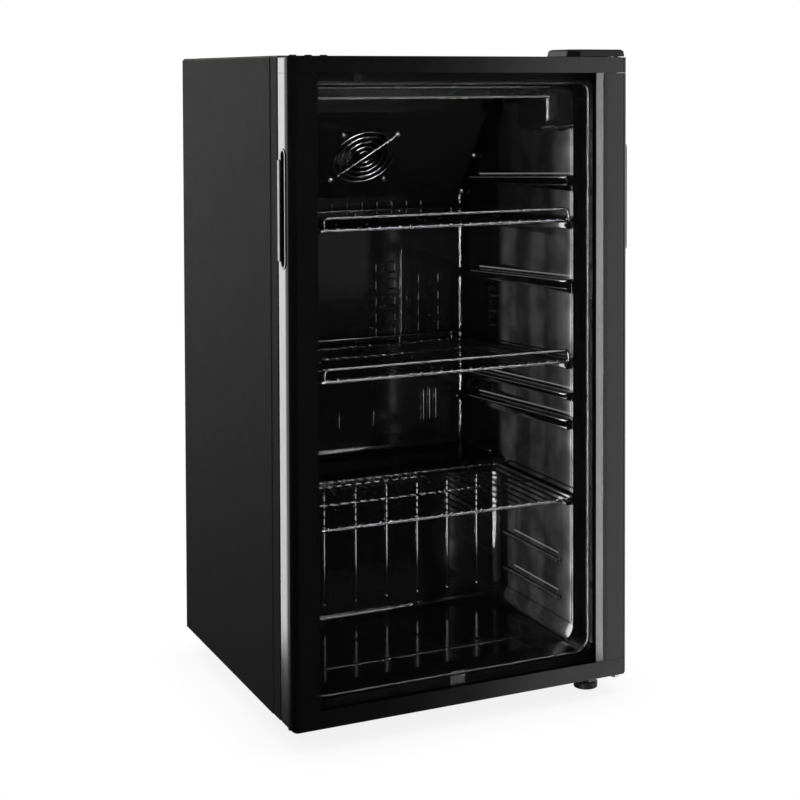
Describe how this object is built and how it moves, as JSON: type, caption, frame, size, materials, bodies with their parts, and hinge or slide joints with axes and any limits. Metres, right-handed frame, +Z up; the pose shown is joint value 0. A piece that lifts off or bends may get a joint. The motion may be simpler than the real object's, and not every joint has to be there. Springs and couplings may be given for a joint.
{
  "type": "glass door merchandiser",
  "caption": "Compact upright drinks cooler with a double-glazed swing door, sloped fan cover, wire shelves and a rear compressor bay.",
  "frame": {"origin": "on the floor, under the centre of the bounding box, at the feet's resting plane", "axes": "+X to the right seen from the front, +Y to the back, the door faces -Y, +Z up"},
  "size_m": [0.474, 0.43, 0.845],
  "materials": {
    "wrap_paint": "satin",
    "galvanised": "satin",
    "pan_paint": "satin",
    "foam": "matte",
    "liner_plastic": "gloss",
    "cover_plastic": "satin",
    "screw_steel": "satin",
    "fan_plastic": "matte",
    "impeller_plastic": "satin",
    "chrome_wire": "polished",
    "shelf_wire": "polished",
    "fin_aluminium": "satin",
    "spacer_aluminium": "matte",
    "grey_plastic": "satin",
    "diffuser_plastic": "gloss",
    "circuit_board": "satin",
    "hinge_steel": "satin",
    "door_plastic": "satin",
    "grip_plastic": "satin",
    "glass": "polished",
    "butyl_seal": "matte",
    "rubber": "matte",
    "cord_rubber": "satin",
    "magnet": "matte",
    "nylon": "satin",
    "knob_plastic": "satin",
    "foot_plastic": "matte",
    "compressor_paint": "gloss",
    "copper": "satin",
    "condenser_steel": "satin"
  },
  "bodies": {
    "cabinet": {"outer_wrap": "wrap_paint", "back_panel": "wrap_paint", "bay_sheet": "galvanised", "base_pan": "pan_paint", "foam_insulation": "foam", "inner_liner": "liner_plastic", "evaporator_cover": "cover_plastic", "cover_screws": "screw_steel", "fan_frame": "fan_plastic", "fan_guard": "chrome_wire", "evaporator_coil": "fin_aluminium", "drain_trough": "fan_plastic", "drain_tube": "grey_plastic", "thermostat_housing": "cover_plastic", "thermostat_unit": "screw_steel", "light_switch_bezel": "fan_plastic", "lamp_housing": "cover_plastic", "lamp_diffuser": "diffuser_plastic", "led_strip": "circuit_board", "upper_catch": "fan_plastic", "lower_catch": "grey_plastic", "top_hinge_bracket": "hinge_steel", "top_hinge_cover": "door_plastic", "bottom_hinge_bracket": "hinge_steel", "hinge_pin_nut": "screw_steel", "hex_screws": "screw_steel", "hinge_hole_plugs": "fan_plastic", "rear_feet": "foot_plastic", "compressor": "compressor_paint", "compressor_mounts": "rubber", "relay_cover": "fan_plastic", "refrigerant_lines": "copper", "filter_drier": "copper", "condenser_coil": "condenser_steel", "drip_tray": "grey_plastic", "power_cord": "cord_rubber", "cord_clamp": "fan_plastic"},
    "door": {"door_stile_left": "door_plastic", "door_stile_right": "door_plastic", "door_cap_top": "door_plastic", "door_cap_bottom": "door_plastic", "glass_outer": "glass", "glass_inner": "glass", "glass_spacer": "spacer_aluminium", "glass_edge_seal": "butyl_seal", "door_inner_frame": "cover_plastic", "door_gasket": "rubber", "gasket_magnets": "magnet", "door_grips": "grip_plastic", "hinge_bushes": "nylon", "door_hole_plugs": "fan_plastic"},
    "fan": {"fan_impeller": "impeller_plastic"},
    "knob": {"thermostat_knob": "knob_plastic"},
    "light_switch": {"light_switch_rocker": "knob_plastic"},
    "top_shelf": {"shelf_top": "shelf_wire"},
    "middle_shelf": {"shelf_middle": "shelf_wire"},
    "bottom_shelf": {"shelf_bottom": "shelf_wire"},
    "left_foot": {"front_foot_left": "foot_plastic"},
    "right_foot": {"front_foot_right": "foot_plastic"}
  },
  "joints": [
    {"name": "door_hinge", "type": "hinge", "parent": "cabinet", "child": "door", "pos_m": [0.225, -0.197, 0.4], "axis": [0, 0, 1], "range_deg": [0, 115]},
    {"name": "fan_spin", "type": "hinge", "parent": "cabinet", "child": "fan", "pos_m": [0.004, 0.12702, 0.69702], "axis": [0, -0.7924, -0.61], "continuous": true},
    {"name": "thermostat_turn", "type": "hinge", "parent": "cabinet", "child": "knob", "pos_m": [0.1645, -0.12926, 0.74305], "axis": [0, -0.1738, -0.9848], "range_deg": [0, 300]},
    {"name": "light_switch_rock", "type": "hinge", "parent": "cabinet", "child": "light_switch", "pos_m": [0.1645, -0.10429, 0.74067], "axis": [0, 0.9848, -0.1738], "range_deg": [-5, 5]},
    {"name": "top_shelf_slide", "type": "slide", "parent": "cabinet", "child": "top_shelf", "axis": [0, -0.9986, 0.0523], "range_m": [0, 0.017]},
    {"name": "middle_shelf_slide", "type": "slide", "parent": "cabinet", "child": "middle_shelf", "axis": [0, -0.9986, 0.0523], "range_m": [0, 0.017]},
    {"name": "bottom_shelf_slide", "type": "slide", "parent": "cabinet", "child": "bottom_shelf", "axis": [0, -1, 0], "range_m": [0, 0.017]},
    {"name": "left_foot_screw", "type": "slide", "parent": "cabinet", "child": "left_foot", "axis": [0, 0, -1], "range_m": [0, 0.012]},
    {"name": "right_foot_screw", "type": "slide", "parent": "cabinet", "child": "right_foot", "axis": [0, 0, -1], "range_m": [0, 0.012]}
  ]
}
